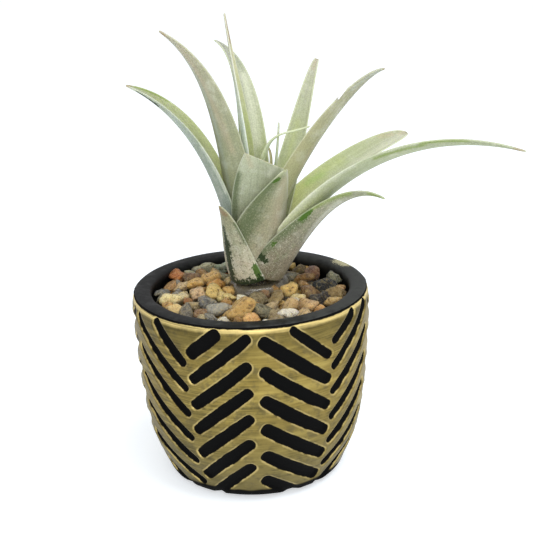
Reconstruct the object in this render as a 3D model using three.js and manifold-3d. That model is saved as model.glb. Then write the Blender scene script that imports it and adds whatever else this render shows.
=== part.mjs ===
// A potted air plant: a painted tub with a herringbone of sunk dashes, filled with river gravel,
// and a small leaf rosette set on the gravel in clear glue.
// Millimetres, +Z up, front towards -Y. The origin is the middle of the pot's flat bottom.
import * as THREE from "three";
import { mergeVertices } from "three/addons/utils/BufferGeometryUtils.js";
import Module from "manifold-3d";

const wasm = await Module();
wasm.setup();

// Driving dimensions of the pot.
const POT_HEIGHT = 67;
const POT_WALL = 6;
const POT_FLOOR = 7;
const FLOOR_RADIUS = 27;
const MOUTH_RADIUS = POT_HEIGHT / 2 + 0.5;
const MOUTH_BEVEL = 0.8;
const INSIDE_LEVELS = [16, 30, 44, 58];
const POT_OUTLINE = [
  [26, 0],
  [30.4, 2],
  [32.7, 6.7],
  [36.6, 17],
  [38.9, 30],
  [40.3, 46.9],
  [41, 60.3],
  [40.2, 66],
  [39.4, POT_HEIGHT],
];
const OUTLINE_SAMPLES = 90;
const ROUND_STEPS = 32;

// The herringbone: ten columns of dashes, and the spines between them turn up and down in turn.
const SPINE_AZIMUTHS = [-71, -32, 1, 41, 75, 111, 147, 183, 219, 254, 289];
const DASH_DEPTH = 1.2;
const DASH_PITCH = 9.3;
const DASH_ROWS = 7;
const DASH_TOP = 63.4;
const DASH_BOTTOM = 1.2;
// The four ways a column was carved. Margin: degrees that its low and its high ends keep to the
// spines. Low and high: the heights of the two ends of its first whole dash. Drop: how far each
// high end lies under the one above. Width: the dashes' width. Top: the low end, high end and
// width of the dash that the rim cuts short.
const DASH_KINDS = [
  { margin: [1.2, 3.2], low: 42.8, high: 63, drop: 10.8, width: 3.1, top: [51.9, 76.6, 3.5] },
  { margin: [2, 2], low: 46.4, high: 63, drop: 9.5, width: 3.7, top: [55.6, 73, 4.3] },
  { margin: [1.8, 3.6], low: 43.4, high: 61.9, drop: 10.5, width: 4.2, top: [52.4, 73.2, 2.9] },
  { margin: [0.6, 3], low: 47.7, high: 65, drop: 9.95, width: 3.3, top: [56.9, 71.4, 3] },
];
// A dash shorter than this many widths is left out. Its blunt ends are two rings each: how far
// each ring stands in from the end and how wide it is, in half widths.
const DASH_SHORTEST = 1.4;
const DASH_END = [
  [-0.2, 0.42],
  [0.45, 1],
];
const CUTTER_OUT = 1;

// The gravel: a bed and the stones that stand out of it.
const GAP = 0.3;
const GRAVEL_TOP = 62.7;
const GRAVEL_CROWN = 0.6;
const PEBBLE_PITCH = 7;
const PEBBLE_RADII = [2.4, 3.1];
const PEBBLE_SEED = 23;
const PEBBLE_EDGE = 1.5;
const HEXAGON_ROW = Math.sqrt(3) / 2;
const HEAP_ROOM = 4;

// The plant stands a little off the pot's middle, on a flattened drop of glue. Both outlines are
// [radius, height] points about the plant's axis.
const PLANT = new THREE.Vector3(2.5, 6, 0);
const PLANT_FOOT = 67;
const GLUE_OUTLINE = [
  [4, 62.2],
  [9.2, 62.6],
  [10.4, 64.6],
  [9.6, 66.2],
  [8.2, PLANT_FOOT - GAP],
];
const GLUE_STEPS = 28;
const CORE_OUTLINE = [
  [0, PLANT_FOOT + 0.1],
  [6.2, PLANT_FOOT + 0.1],
  [6, 69],
  [3.9, 73],
  [2.2, 78],
  [1, 84.2],
  [0, 84.2],
];
const CORE_STEPS = 12;

// The leaves: half the thickness of their edges, and how finely their skins are divided.
const BLADE_EDGE = 0.32;
const BLADE_STEPS = 10;
const BLADE_COLUMNS = 6;

// Each leaf, from the outermost sheath to the innermost. Heading is the compass bearing that it
// grows towards, with 0 at the front and 90 at the right. Root, bow, crook and tip are the control
// points of its midrib: [outward, upward, sideways] from the plant's axis at z = 0 for the root,
// and from the root for the others. Width is half the leaf's flattened width, and fold is half
// the angle of its channel, both as control values from root to tip. Rib is half its thickness.
const LEAVES = [
  {
    name: "stub_front_left",
    heading: -53,
    root: [9.2, 67.3],
    bow: [3.9, 10.4, 0],
    crook: [2.9, 22.5, 0.8],
    tip: [9.4, 30.2, 5.9],
    lean: -2,
    twist: 1,
    width: [11.8, 11.2, 7, 5.2, 0.8],
    fold: [74, 71, 50],
    rib: [0.6, 0.4],
    colour: 0xb9b6a0,
  },
  {
    name: "leaf_right_low",
    heading: 70,
    root: [8.6, 67.5],
    bow: [4.4, 7.4, 0],
    crook: [19.6, 37.8, 0.7],
    tip: [37.2, 30.9, 0],
    lean: -2,
    twist: -22,
    width: [15, 18.8, 3.2, 5, 0.35],
    fold: [95, 79, 67],
    rib: [0.6, 0.35],
    colour: 0xa8ad92,
  },
  {
    name: "stub_front_right",
    heading: 30,
    root: [8, 69],
    bow: [-0.4, 18.1, 0],
    crook: [8.6, 34.2, 0],
    tip: [13.5, 41, -0.5],
    lean: 4,
    twist: 9,
    width: [13, 18.9, 10.6, 5.3, 1],
    fold: [88, 49, 33],
    rib: [0.5, 0.35],
    colour: 0xb4b59d,
  },
  {
    name: "leaf_left_low",
    heading: -100,
    root: [7.6, 67.6],
    bow: [2, 38.5, 0],
    crook: [17.9, 59.8, 0],
    tip: [34.9, 67.1, 0.9],
    lean: 12,
    twist: -12,
    width: [8, 10.6, 8.1, 6, 0.35],
    fold: [70, 54, 67],
    rib: [0.6, 0.35],
    colour: 0xa6ac90,
  },
  {
    name: "stub_front",
    heading: 15,
    root: [6.2, 71],
    bow: [1.4, 24, 0],
    crook: [8, 42, -0.5],
    tip: [10.4, 47, 0.1],
    lean: -2,
    twist: -3,
    width: [9.7, 13.2, 11.6, 6.6, 5],
    fold: [80, 47, 36],
    rib: [0.5, 0.35],
    colour: 0xb0b198,
  },
  {
    name: "leaf_right_long",
    heading: 84,
    root: [7, 68.5],
    bow: [4.6, 19, 0],
    crook: [35.6, 55.4, 0.8],
    tip: [83.8, 43.3, -2.2],
    lean: -8,
    twist: -18,
    width: [9.4, 12.5, 6.3, 6.6, 0.35],
    fold: [84, 58, 60],
    rib: [0.55, 0.35],
    colour: 0xabb293,
  },
  {
    name: "leaf_left_tall",
    heading: -85,
    root: [5.2, 72],
    bow: [5.4, 28, 0],
    crook: [2.6, 65.5, 0],
    tip: [24, 81.9, 0],
    lean: 22,
    twist: 13,
    width: [9.5, 12.4, 9.1, 5.2, 0.35],
    fold: [88, 60, 51],
    rib: [0.5, 0.35],
    colour: 0xb3b69c,
  },
  {
    name: "leaf_right_blunt",
    heading: 118,
    root: [6, 70],
    bow: [2.3, 24, 0],
    crook: [48.8, 39.6, -1.5],
    tip: [56.2, 39.9, -0.8],
    lean: 3,
    twist: 23,
    width: [9.4, 8.3, 6.5, 7, 0.6],
    fold: [86, 58, 33],
    rib: [0.5, 0.35],
    colour: 0xbcc899,
  },
  {
    name: "leaf_right_high",
    heading: 92,
    root: [5, 73],
    bow: [-0.8, 21.5, 0],
    crook: [29.8, 63.7, 0],
    tip: [39.8, 65.3, 0.2],
    lean: -19,
    twist: -12,
    width: [8, 9.8, 8.1, 4.9, 0.35],
    fold: [88, 64, 49],
    rib: [0.5, 0.35],
    colour: 0xadb39a,
  },
  {
    name: "leaf_back_right",
    heading: 148,
    root: [4.2, 75],
    bow: [5.5, 12, -4.5],
    crook: [28, 58, -3.6],
    tip: [35, 62, -3.3],
    lean: 20,
    twist: 8,
    width: [7, 7.7, 3.9, 2.5, 0.8],
    fold: [86, 58, 46],
    rib: [0.45, 0.35],
    colour: 0xbcc79d,
  },
  {
    name: "leaf_back",
    heading: -150,
    root: [4, 76],
    bow: [0.8, 33.6, 0],
    crook: [0.7, 65.7, -3.4],
    tip: [23, 70, -1.7],
    lean: 9,
    twist: 7,
    width: [6.5, 10.2, 7.1, 3.6, 0.35],
    fold: [86, 60, 51],
    rib: [0.45, 0.35],
    colour: 0xc0cba4,
  },
  {
    name: "leaf_upright",
    heading: -125,
    root: [3.6, 77],
    bow: [-1.5, 36, 0],
    crook: [2.5, 54, -0.4],
    tip: [6, 80.9, 0],
    lean: 25,
    twist: -3,
    width: [5.5, 6.8, 5.8, 1.8, 0.35],
    fold: [80, 64, 30],
    rib: [0.45, 0.35],
    colour: 0xb7c195,
  },
  {
    name: "leaf_needle",
    heading: 92,
    root: [2.2, 84.5],
    bow: [4.8, 14, 0],
    crook: [6, 26, 0],
    tip: [6.8, 37.2, 0],
    lean: 60,
    twist: 0,
    width: [1.4, 0.9, 0.5, 0.4, 0.34],
    fold: [50, 50, 30],
    rib: [0.4, 0.33],
    columns: 2,
    steps: 8,
    colour: 0x98a77e,
  },
  {
    name: "leaf_young_inner",
    heading: 110,
    root: [1.6, 84.5],
    bow: [3.2, 9.9, 0],
    crook: [7, 23.5, 0],
    tip: [3.6, 28.6, -1],
    lean: -20,
    twist: 0,
    width: [2.6, 2.6, 2.4, 1.8, 0.6],
    fold: [70, 60, 50],
    rib: [0.4, 0.33],
    columns: 4,
    steps: 8,
    colour: 0xb5bd84,
  },
  {
    name: "leaf_young",
    heading: 60,
    root: [1.2, 84.5],
    bow: [2.8, 38.7, 0],
    crook: [4.3, 31.5, 2.2],
    tip: [15.7, 35.6, 9.6],
    lean: 0,
    twist: 0,
    width: [2.6, 2.8, 0.3, 0.36, 0.34],
    fold: [75, 60, 40],
    rib: [0.4, 0.33],
    columns: 2,
    steps: 13,
    colour: 0xc2cc9a,
  },
];
// The front stub was cut off flat with scissors: the cut's middle, and how far it tips down to the
// right and to the back.
const STUB_CUT = new THREE.Vector3(6.8, -2, 110.4);
const STUB_CUT_RIGHT = 25;
const STUB_CUT_BACK = 13;
const WASTE_SIZE = 60;

const degrees = THREE.MathUtils.degToRad;

// A closed three.js geometry as a solid, with its doubled vertices merged.
function solid(geometry) {
  const bare = geometry.index ? geometry.toNonIndexed() : geometry.clone();
  bare.deleteAttribute("normal");
  bare.deleteAttribute("uv");
  const merged = mergeVertices(bare, 1e-4);
  const corners = [];
  for (let i = 0; i < merged.index.count; i += 3) {
    const [a, b, c] = [0, 1, 2].map((k) => merged.index.getX(i + k));
    if (a !== b && b !== c && c !== a) corners.push(a, b, c);
  }
  return new wasm.Manifold(
    new wasm.Mesh({
      numProp: 3,
      vertProperties: new Float32Array(merged.attributes.position.array),
      triVerts: new Uint32Array(corners),
    }),
  );
}

// The largest body of a solid that a cut has left in several.
function largest(made) {
  return made.decompose().sort((a, b) => b.volume() - a.volume())[0];
}

// A solid as a named three.js mesh.
function part(name, made, colour, roughness, metalness = 0) {
  const mesh = made.getMesh();
  const geometry = new THREE.BufferGeometry();
  geometry.setAttribute("position", new THREE.BufferAttribute(mesh.vertProperties.slice(), 3));
  geometry.setIndex(new THREE.BufferAttribute(mesh.triVerts.slice(), 1));
  geometry.computeVertexNormals();
  const material = new THREE.MeshStandardMaterial({ color: colour, roughness, metalness });
  const named = new THREE.Mesh(geometry, material);
  named.name = name;
  return named;
}

// A solid turned about the upright axis through the origin from [radius, height] points.
function turned(outline, steps = ROUND_STEPS) {
  const points = outline.map(([radius, z]) => new THREE.Vector2(radius, z));
  return solid(new THREE.LatheGeometry(points, steps).rotateX(Math.PI / 2));
}

// A Bezier curve through control numbers or vectors.
function bezier(controls, t) {
  let row = controls;
  while (row.length > 1) {
    row = row.slice(1).map((next, i) =>
      next.isVector3 ? row[i].clone().lerp(next, t) : row[i] * (1 - t) + next * t,
    );
  }
  return row[0];
}

// A repeatable run of random numbers from 0 to 1.
function seeded(seed) {
  let state = seed;
  return () => {
    state = (state * 1664525 + 1013904223) % 4294967296;
    return state / 4294967296;
  };
}

// The pot's outside radius at a height, on the smooth curve through its outline.
const outsideCurve = new THREE.SplineCurve(POT_OUTLINE.map(([r, z]) => new THREE.Vector2(r, z)));
const OUTSIDE_POINTS = outsideCurve.getPoints(OUTLINE_SAMPLES);
function potRadius(z) {
  const upper = OUTSIDE_POINTS.findIndex((point) => point.y >= z);
  if (upper <= 0) return upper ? OUTSIDE_POINTS.at(-1).x : OUTSIDE_POINTS[0].x;
  const [a, b] = [OUTSIDE_POINTS[upper - 1], OUTSIDE_POINTS[upper]];
  return a.x + ((b.x - a.x) * (z - a.y)) / (b.y - a.y);
}

// A point at an azimuth (0 at the front, 90 at the right), a radius and a height.
function around(azimuth, radius, z) {
  const angle = degrees(azimuth);
  return new THREE.Vector3(radius * Math.sin(angle), -radius * Math.cos(angle), z);
}

// The closed skin between rings of points, each ring in the same order, with both ends capped by
// a fan strip. Ring points 0 .. n-1 are one face, and n .. 2n-1 the other face backwards.
function lofted(rings) {
  const size = rings[0].length;
  const half = size / 2;
  const corners = [];
  const face = (a, b, c) => corners.push(a, b, c);
  for (let i = 0; i + 1 < rings.length; i += 1) {
    for (let j = 0; j < size; j += 1) {
      const k = (j + 1) % size;
      const [a, b, c, d] = [rings[i][j], rings[i][k], rings[i + 1][k], rings[i + 1][j]];
      if (j < half - 1) {
        face(a, b, c);
        face(a, c, d);
      } else {
        face(a, b, d);
        face(b, c, d);
      }
    }
  }
  const [first, last] = [rings[0], rings.at(-1)];
  for (let j = 0; j < half - 1; j += 1) {
    const [a, b, c, d] = [j, j + 1, size - 2 - j, size - 1 - j];
    face(first[a], first[d], first[b]);
    face(first[b], first[d], first[c]);
    face(last[a], last[b], last[d]);
    face(last[b], last[c], last[d]);
  }
  return new THREE.BufferGeometry().setFromPoints(corners);
}

// One dash of the herringbone as a cutter that follows the pot's wall, or null off the pattern.
function dashCutter(column, row) {
  const kind = DASH_KINDS[column % DASH_KINDS.length];
  const [topLow, topHigh, topWidth] = kind.top;
  const lowEnd = row === 0 ? topLow : kind.low - (row - 1) * DASH_PITCH;
  const highEnd = row === 0 ? topHigh : kind.high - (row - 1) * kind.drop;
  const width = row === 0 ? topWidth : kind.width;
  const rising = column % 2 === 1;
  const direction = rising ? 1 : -1;
  const [left, right] = [SPINE_AZIMUTHS[column], SPINE_AZIMUTHS[column + 1]];
  const valley = rising ? left + kind.margin[0] : right - kind.margin[0];
  const here = potRadius(Math.max((lowEnd + highEnd) / 2, 0));
  const span = degrees(right - left - kind.margin[0] - kind.margin[1]) * here;
  const slope = Math.atan2(highEnd - lowEnd, span);
  const first = Math.max(0, DASH_BOTTOM - lowEnd) / Math.sin(slope);
  const last = (Math.min(highEnd, DASH_TOP) - lowEnd) / Math.sin(slope);
  if (last - first < DASH_SHORTEST * width) return null;
  const cap = width / 2;
  const start = DASH_END.map(([inset, wide]) => [first + inset * cap, wide * cap]);
  const middle = [[(first + last) / 2, cap]];
  const end = start.map(([along, half]) => [first + last - along, half]).reverse();
  const rings = [...start, ...middle, ...end].map(([along, half]) => {
    const corner = (side, depth) => {
      const run = along * Math.cos(slope) - side * half * Math.sin(slope);
      const z = lowEnd + along * Math.sin(slope) + side * half * Math.cos(slope);
      const azimuth = valley + direction * THREE.MathUtils.radToDeg(run / here);
      return around(azimuth, potRadius(z) + depth, z);
    };
    const order = [
      corner(-1, -DASH_DEPTH),
      corner(1, -DASH_DEPTH),
      corner(1, CUTTER_OUT),
      corner(-1, CUTTER_OUT),
    ];
    return rising ? order : order.reverse();
  });
  return solid(lofted(rings));
}

// The pot: a cast tub with its dashes sunk into the wall.
function pot() {
  const inside = INSIDE_LEVELS.map((z) => [potRadius(z) - POT_WALL, z]);
  const body = turned([
    [0, 0],
    ...POT_OUTLINE,
    [MOUTH_RADIUS + MOUTH_BEVEL, POT_HEIGHT],
    [MOUTH_RADIUS, POT_HEIGHT - MOUTH_BEVEL],
    ...inside.reverse(),
    [FLOOR_RADIUS, POT_FLOOR],
    [0, POT_FLOOR],
  ]);
  const cutters = [];
  for (let column = 0; column + 1 < SPINE_AZIMUTHS.length; column += 1) {
    for (let row = 0; row < DASH_ROWS; row += 1) {
      const cutter = dashCutter(column, row);
      if (cutter) cutters.push(cutter);
    }
  }
  return largest(body.subtract(wasm.Manifold.union(cutters)));
}

// What the inside of the pot leaves for the gravel, a gap clear of its wall and floor.
function hollow(top) {
  const inside = INSIDE_LEVELS.map((z) => [potRadius(z) - POT_WALL - GAP, z]);
  return turned([
    [0, POT_FLOOR + GAP],
    [FLOOR_RADIUS - GAP, POT_FLOOR + GAP],
    ...inside,
    [MOUTH_RADIUS - GAP, top],
    [0, top],
  ]);
}

// The glue: a flattened, uneven drop on the gravel, under and round the plant's foot.
function glueDrop(grow = 0) {
  const last = GLUE_OUTLINE.length - 1;
  const levels = GLUE_OUTLINE.map(([radius, z], i) => {
    const lift = Math.sign(i - last / 2);
    return new THREE.Vector2(radius + (i ? grow : 0), z + lift * grow);
  });
  const closed = [new THREE.Vector2(0, levels[0].y), ...levels, new THREE.Vector2(0, levels[last].y)];
  const drop = new THREE.LatheGeometry(closed, GLUE_STEPS).rotateX(Math.PI / 2);
  const place = drop.attributes.position;
  for (let i = 0; i < place.count; i += 1) {
    const [x, y] = [place.getX(i), place.getY(i)];
    const angle = Math.atan2(y, x);
    const wave = 1 + 0.06 * Math.sin(3 * angle + 1) + 0.05 * Math.sin(5 * angle);
    place.setXY(i, PLANT.x + x * wave, PLANT.y + y * wave);
  }
  return solid(drop);
}

// The gravel: a bed, and stones on a jittered hexagonal rule, sunk well into it.
function gravel() {
  const random = seeded(PEBBLE_SEED);
  const between = (low, high) => low + (high - low) * random();
  const solids = [hollow(GRAVEL_TOP)];
  const reach = MOUTH_RADIUS - PEBBLE_EDGE;
  const rows = Math.ceil(reach / (PEBBLE_PITCH * HEXAGON_ROW));
  for (let row = -rows; row <= rows; row += 1) {
    for (let column = -rows; column <= rows; column += 1) {
      const x = (column + (row % 2) / 2) * PEBBLE_PITCH + between(-1, 1);
      const y = row * PEBBLE_PITCH * HEXAGON_ROW + between(-1, 1);
      const size = between(...PEBBLE_RADII);
      const stretch = [between(0.85, 1.2), between(0.8, 1.1), between(0.6, 0.85)];
      const turn = new THREE.Euler(between(-0.5, 0.5), between(-0.5, 0.5), between(0, 6.3));
      const lift = between(-0.3, 0.9);
      const distance = Math.hypot(x, y);
      if (distance > reach) continue;
      const stone = new THREE.IcosahedronGeometry(size, 0);
      const crown = GRAVEL_CROWN * (1 - (distance / reach) ** 2);
      stone.applyMatrix4(
        new THREE.Matrix4().compose(
          new THREE.Vector3(x, y, GRAVEL_TOP + crown + lift),
          new THREE.Quaternion().setFromEuler(turn),
          new THREE.Vector3(...stretch),
        ),
      );
      solids.push(solid(stone));
    }
  }
  const heap = wasm.Manifold.union(solids).intersect(hollow(POT_HEIGHT + HEAP_ROOM));
  return largest(heap.subtract(glueDrop(GAP)));
}

// One leaf: a channelled blade along its midrib. Grow fattens it all round, for the room that
// its neighbours leave it.
function blade(leaf, grow = 0) {
  const out = around(leaf.heading, 1, 0);
  const side = around(leaf.heading + 90, 1, 0);
  const place = ([outward, upward, sideways = 0]) =>
    PLANT.clone()
      .addScaledVector(out, outward)
      .addScaledVector(side, sideways)
      .add(new THREE.Vector3(0, 0, upward));
  const root = [leaf.root[0], leaf.root[1], 0];
  const fromRoot = (step) => place(step.map((value, i) => value + root[i]));
  const controls = [place(root), fromRoot(leaf.bow), fromRoot(leaf.crook), fromRoot(leaf.tip)];
  const pulls = controls.slice(1).map((point, i) => point.clone().sub(controls[i]));
  const level = around(leaf.heading + 90 + leaf.lean, 1, 0);
  const steps = leaf.steps ?? BLADE_STEPS;
  const columns = leaf.columns ?? BLADE_COLUMNS;
  const rings = [];
  for (let i = 0; i <= steps; i += 1) {
    const t = i / steps;
    const along = bezier(pulls, t).normalize();
    const middle = bezier(controls, t);
    if (i === 0) middle.addScaledVector(along, -grow);
    if (i === steps) middle.addScaledVector(along, grow);
    const across = level.clone().addScaledVector(along, -level.dot(along)).normalize();
    const inward = along.clone().cross(across);
    const turn = degrees(leaf.twist * t);
    const crosswise = across.clone().multiplyScalar(Math.cos(turn));
    crosswise.addScaledVector(inward, Math.sin(turn));
    const inner = inward.clone().multiplyScalar(Math.cos(turn));
    inner.addScaledVector(across, -Math.sin(turn));
    const halfWidth = bezier(leaf.width, t);
    const halfFold = degrees(bezier(leaf.fold, t));
    const radius = halfWidth / halfFold;
    const rib = bezier(leaf.rib, t);
    const skin = (face) => {
      const row = [];
      for (let j = 0; j <= columns; j += 1) {
        const off = (2 * j) / columns - 1;
        const angle = off * (halfFold + grow / radius);
        const thick = BLADE_EDGE + (rib - BLADE_EDGE) * (1 - off ** 2) + grow;
        const normal = inner.clone().multiplyScalar(Math.cos(angle));
        normal.addScaledVector(crosswise, -Math.sin(angle));
        row.push(
          middle
            .clone()
            .addScaledVector(crosswise, radius * Math.sin(angle))
            .addScaledVector(inner, radius * (1 - Math.cos(angle)))
            .addScaledVector(normal, face * thick),
        );
      }
      return row;
    };
    rings.push([...skin(-1), ...skin(1).reverse()]);
  }
  return solid(lofted(rings));
}

// The plant: the outermost sheath is whole, and each leaf inside it keeps clear of those outside.
function rosette() {
  const made = new Map();
  const outside = [];
  for (const leaf of LEAVES) {
    let shape = blade(leaf);
    if (leaf.name === "stub_front") {
      const waste = new THREE.BoxGeometry(WASTE_SIZE, WASTE_SIZE, WASTE_SIZE);
      waste.translate(0, 0, WASTE_SIZE / 2);
      waste.rotateX(-degrees(STUB_CUT_BACK)).rotateY(degrees(STUB_CUT_RIGHT));
      waste.translate(...STUB_CUT.toArray());
      shape = shape.subtract(solid(waste));
    }
    if (outside.length) shape = largest(shape.subtract(wasm.Manifold.union(outside)));
    made.set(leaf.name, shape);
    outside.push(blade(leaf, GAP));
  }
  const core = turned(CORE_OUTLINE, CORE_STEPS).translate(PLANT.toArray());
  made.set("stem_core", largest(core.subtract(wasm.Manifold.union(outside))));
  return made;
}

const group = new THREE.Group();
const plant = new THREE.Group();
group.add(part("pot", pot(), 0xa8924e, 0.45, 0.4));
group.add(part("gravel", gravel(), 0xa8875a, 0.7));
plant.add(part("glue_drop", glueDrop(), 0xd9dcd4, 0.15));
const shapes = rosette();
plant.add(part("stem_core", shapes.get("stem_core"), 0x8d9a68, 0.7));
for (const leaf of LEAVES) plant.add(part(leaf.name, shapes.get(leaf.name), leaf.colour, 0.7));
group.add(plant);

export default group;
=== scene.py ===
import math
from functools import partial

import bpy
import numpy as np
from mathutils import Matrix, Vector


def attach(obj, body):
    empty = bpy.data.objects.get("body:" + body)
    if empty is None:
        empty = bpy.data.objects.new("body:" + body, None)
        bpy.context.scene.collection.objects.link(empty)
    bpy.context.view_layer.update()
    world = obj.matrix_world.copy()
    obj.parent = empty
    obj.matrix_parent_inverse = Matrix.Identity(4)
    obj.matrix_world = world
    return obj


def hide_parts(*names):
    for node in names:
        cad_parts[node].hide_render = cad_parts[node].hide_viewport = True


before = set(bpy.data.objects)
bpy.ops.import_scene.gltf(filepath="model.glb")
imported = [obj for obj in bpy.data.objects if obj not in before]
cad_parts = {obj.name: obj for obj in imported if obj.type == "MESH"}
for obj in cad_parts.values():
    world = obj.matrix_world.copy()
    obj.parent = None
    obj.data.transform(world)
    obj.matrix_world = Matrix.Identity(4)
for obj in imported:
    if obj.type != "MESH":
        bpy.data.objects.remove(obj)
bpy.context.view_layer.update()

# The pot. A small tub cast in plaster that is coloured black right through. A herringbone of
# dashes is pressed into its wall, and gold paint is wiped over it with a nearly dry brush, so
# that the dashes, the rim, the inside and the foot stay black.
MM = 0.001
PER_MM = 1 / MM
POT_WALL = 6
POT_OUTLINE = [
    (26, 0), (30.4, 2), (32.7, 6.7), (36.6, 17), (38.9, 30), (40.3, 46.9), (41, 60.3), (40.2, 66),
    (39.4, 67),
]
# Radius and height where the foot, the rim, its inner lip and the floor turn.
POT_FOOT = [(0, 0.35), (12, 0.35), (20, 0.3), (24, 0.1), (25.6, 0)]
POT_RIM = [(40.0, 66.15), (39.7, 66.5), (39.2, 66.75), (38.4, 66.88), (37.2, 66.92), (35.9, 66.9)]
POT_LIP = [(35.1, 66.8), (34.55, 66.55), (34.2, 66.1), (34.05, 65.4), (34.05, 64.4)]
POT_FLOOR = [(27, 7), (0, 7)]
WALL_HEIGHTS = (0.5, 65.6)
INSIDE_HEIGHTS = (62, 58, 50, 40, 28, 16)
# How far the wall lies inside the outline, and how far wall, mouth and rim stray. The mouth is
# what lies within MOUTH_LIP of the axis.
POT_SKIN = 0.25
WALL_STRAY = 0.08
MOUTH_STRAY = 0.22
MOUTH_LIP = 36
RIM_SAG = 0.1
RIM_STRAY = 0.09
POT_COLUMNS = 432
POT_ROWS = 116
SPINE_AZIMUTHS = [-71, -32, 1, 41, 75, 111, 147, 183, 219, 254, 289]
DASH_DEPTH = 1.2
DASH_PITCH = 9.3
DASH_ROWS = 7
DASH_SEED = 31
DASH_TOP = 64.4
DASH_BOTTOM = 1.2
DASH_SHORTEST = 4
DASH_BOW_STRAY = 0.15
DASH_SWELLS = (0.96, 1.04)
# A dash's ends are rounded off by 0.8 of half its width and reach 0.5 mm past their marks.
DASH_CORNER = 0.8
DASH_END_REACH = 0.5
# Its flank begins 0.9 mm inside its edge, and a low ridge stands up 0.95 mm outside it.
FLANK_INSIDE = 0.9
FLANK_WIDTH = 1.6
RIDGE_OUT, RIDGE_SPREAD, RIDGE_HEIGHT = 0.95, 0.5, 0.12
# The four ways a column was carved. Low and high: the heights of the two ends of its first whole
# dash. Drop: how far each high end lies under the one above. Width: at the low and at the high
# end. Bow: how far the middle stands up. Margin: degrees that the low and the high ends keep to
# the spines. Top: the low end, high end and width of the dash that the rim cuts short.
DASH_KINDS = [
    dict(low=42.8, high=63, drop=10.8, width=(3.1, 3.1), bow=0.1, margin=(1.2, 3.2), top=(51.9, 76.6, 3.5)),
    dict(low=46.4, high=63, drop=9.5, width=(3.6, 3.8), bow=0, margin=(2, 2), top=(55.6, 73, 4.3)),
    dict(low=43.4, high=61.9, drop=10.5, width=(3.8, 4.5), bow=-0.35, margin=(1.8, 3.6),
         top=(52.4, 73.2, 2.9)),
    dict(low=47.7, high=65, drop=9.95, width=(3.1, 3.4), bow=0, margin=(0.6, 3), top=(56.9, 71.4, 3)),
]
# The gold ends at these heights, its lower edge is uneven, and at one side it is rubbed thin and
# darkened as painted shade.
PAINT_TOP = 65.8
PAINT_FOOT = 4.4
PAINT_FOOT_STRAY = 0.9
WORN_SHADED_AZIMUTH, WORN_SHADED_SPREAD = -52, 26
THIN_AND_SHADED_GOLD = "#3F3A22"
BRIGHT_GOLD_HIGHLIGHT = "#E4CC86"
# The ends of a pale chip along the rim's outer edge, and how far it reaches from that line.
RIM_CHIP = np.array([[32.0, 21.6, 66.8], [34.2, 17.8, 66.8]])
RIM_CHIP_REACH = 2.9
# Distances to a dash count up to this one. Off the wall, those to the gold's borders are NO_GOLD.
FAR = 9.0
NO_GOLD = -4
# Points that lie nearer to each other than this are one.
MERGE_WITHIN = 0.004 * MM


def curve_points(points, steps):
    """A smooth curve through all the points, as an array of steps + 1 places on it."""
    points = np.array(points, float)
    places = np.linspace(0, len(points) - 1, steps + 1)
    start = np.minimum(places.astype(int), len(points) - 2)
    t = (places - start)[:, None]
    p0, p1 = points[np.maximum(start - 1, 0)], points[start]
    p2, p3 = points[start + 1], points[np.minimum(start + 2, len(points) - 1)]
    v0, v1 = (p2 - p0) / 2, (p3 - p1) / 2
    return (2 * p1 - 2 * p2 + v0 + v1) * t**3 + (3 * p2 - 3 * p1 - 2 * v0 - v1) * t**2 + v0 * t + p1


OUTSIDE = curve_points(POT_OUTLINE, 90)


def pot_radius(z):
    """The pot's outside radius at a height, in mm."""
    return np.interp(z, OUTSIDE[:, 1], OUTSIDE[:, 0])


def waves(angle, seed, count=9, first=2):
    """A smooth random wave round a circle, from about -1 to 1, the same for each seed."""
    random = np.random.default_rng(seed)
    total = np.zeros_like(angle)
    for turn in range(first, first + count):
        total += random.normal() * np.sin(turn * angle + random.uniform(0, 2 * math.pi)) / turn**0.6
    return total / count**0.5 * 1.4


def dash_distance(azimuth, z):
    """How far a point of the wall lies outside the nearest dash, in mm; negative inside it."""
    nearest = np.full(azimuth.shape, FAR)
    random = np.random.default_rng(DASH_SEED)
    for column, (left, right) in enumerate(zip(SPINE_AZIMUTHS, SPINE_AZIMUTHS[1:])):
        kind = DASH_KINDS[column % len(DASH_KINDS)]
        rising = column % 2 == 1
        direction = 1 if rising else -1
        valley = left + kind["margin"][0] if rising else right - kind["margin"][0]
        turned_by = direction * ((azimuth - valley + 180) % 360 - 180)
        for row in range(DASH_ROWS):
            low, high, top_width = kind["top"]
            widths = (top_width, top_width)
            if row > 0:
                low = kind["low"] - (row - 1) * DASH_PITCH
                high = kind["high"] - (row - 1) * kind["drop"]
                widths = kind["width"]
            here = pot_radius(max((low + high) / 2, 0))
            span = math.radians(right - left - sum(kind["margin"])) * here
            slope = math.atan2(high - low, span)
            bow = kind["bow"] + random.uniform(-DASH_BOW_STRAY, DASH_BOW_STRAY)
            swell = random.uniform(*DASH_SWELLS)
            first = max(0.0, DASH_BOTTOM - low) / math.sin(slope)
            last = min(high - low, DASH_TOP - low) / math.sin(slope)
            if last - first < DASH_SHORTEST:
                continue
            run = np.radians(turned_by) * here
            along = run * math.cos(slope) + (z - low) * math.sin(slope)
            share = np.clip((along - first) / (last - first), 0, 1)
            off = (z - low) * math.cos(slope) - run * math.sin(slope) - bow * 4 * share * (1 - share)
            half = (widths[0] * (1 - share) + widths[1] * share) * swell / 2
            half = half * (0.92 + 0.16 * np.sin(math.pi * share) ** 0.6)
            corner = DASH_CORNER * half
            past = np.abs(along - (first + last) / 2) - (last - first) / 2 - DASH_END_REACH + corner
            beside = np.abs(off) - half + corner
            outside = np.hypot(np.maximum(past, 0), np.maximum(beside, 0))
            nearest = np.minimum(nearest, outside + np.minimum(np.maximum(past, beside), 0) - corner)
    return nearest


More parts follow.
